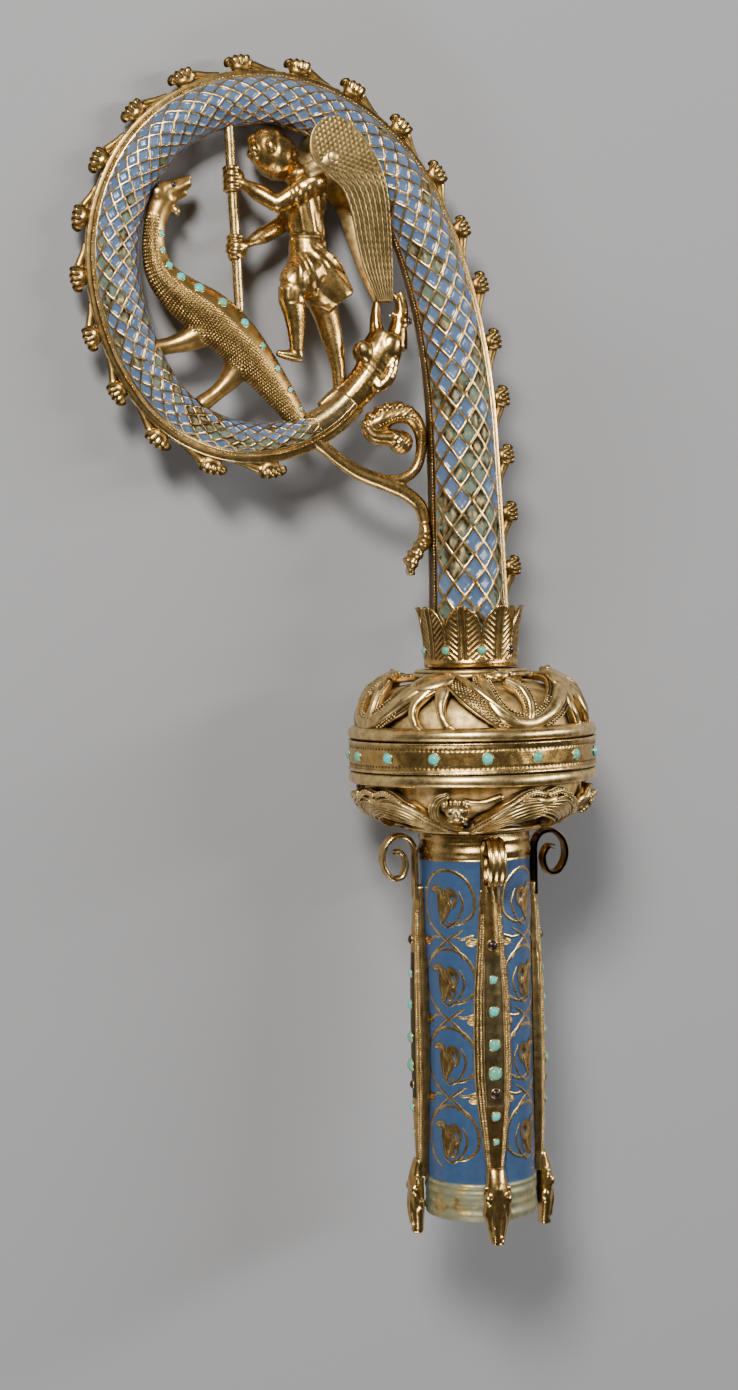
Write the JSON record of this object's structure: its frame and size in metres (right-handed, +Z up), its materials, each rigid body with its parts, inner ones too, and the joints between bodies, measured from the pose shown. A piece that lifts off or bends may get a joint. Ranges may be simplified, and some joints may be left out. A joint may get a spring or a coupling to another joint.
{
  "type": "crosier head",
  "caption": "Head of a bishop's staff: a serpent volute round a winged figure and a dragon, on a pierced knop and an enamelled socket.",
  "frame": {"origin": "centre of the bounding box in plan, on the floor that the head lies on", "axes": "+Y towards the volute's top along the staff, +X to the right of the volute seen from its front, +Z up, out of the volute's front"},
  "size_m": [0.1356, 0.3086, 0.0662],
  "materials": {
    "enamelled_copper": "blue champleve enamel between gilt lines, worn",
    "gilt_copper": "worn mercury gilding",
    "worn_gilt_copper": "gilding rubbed through to brown copper",
    "dark_gilt_copper": "dull olive gilding in the recesses",
    "turquoise_glass": "smooth opaque turquoise glass"
  },
  "bodies": {
    "root": {"coronet": "gilt_copper", "coronet_bead_1": "turquoise_glass", "coronet_bead_2": "turquoise_glass", "coronet_bead_3": "turquoise_glass", "coronet_bead_4": "turquoise_glass", "coronet_bead_5": "turquoise_glass", "coronet_bead_6": "turquoise_glass", "coronet_bead_7": "turquoise_glass", "coronet_bead_8": "turquoise_glass", "crook": "enamelled_copper", "dragon": "gilt_copper", "dragon_bead_1": "turquoise_glass", "dragon_bead_10": "turquoise_glass", "dragon_bead_11": "turquoise_glass", "dragon_bead_2": "turquoise_glass", "dragon_bead_3": "turquoise_glass", "dragon_bead_4": "turquoise_glass", "dragon_bead_5": "turquoise_glass", "dragon_bead_6": "turquoise_glass", "dragon_bead_7": "turquoise_glass", "dragon_bead_8": "turquoise_glass", "dragon_bead_9": "turquoise_glass", "girdle_bead_1": "turquoise_glass", "girdle_bead_10": "turquoise_glass", "girdle_bead_11": "turquoise_glass", "girdle_bead_12": "turquoise_glass", "girdle_bead_13": "turquoise_glass", "girdle_bead_14": "turquoise_glass", "girdle_bead_15": "turquoise_glass", "girdle_bead_2": "turquoise_glass", "girdle_bead_3": "turquoise_glass", "girdle_bead_4": "turquoise_glass", "girdle_bead_5": "turquoise_glass", "girdle_bead_6": "turquoise_glass", "girdle_bead_7": "turquoise_glass", "girdle_bead_8": "turquoise_glass", "knop_girdle": "gilt_copper", "knop_liner": "dark_gilt_copper", "knop_lower": "worn_gilt_copper", "knop_upper": "worn_gilt_copper", "lance": "gilt_copper", "lizard_1": "gilt_copper", "lizard_2": "gilt_copper", "lizard_3": "gilt_copper", "lizard_4": "gilt_copper", "saint": "worn_gilt_copper", "socket": "enamelled_copper", "tendril": "worn_gilt_copper", "wing_back": "dark_gilt_copper", "wing_front": "dark_gilt_copper"}
  },
  "joints": []
}
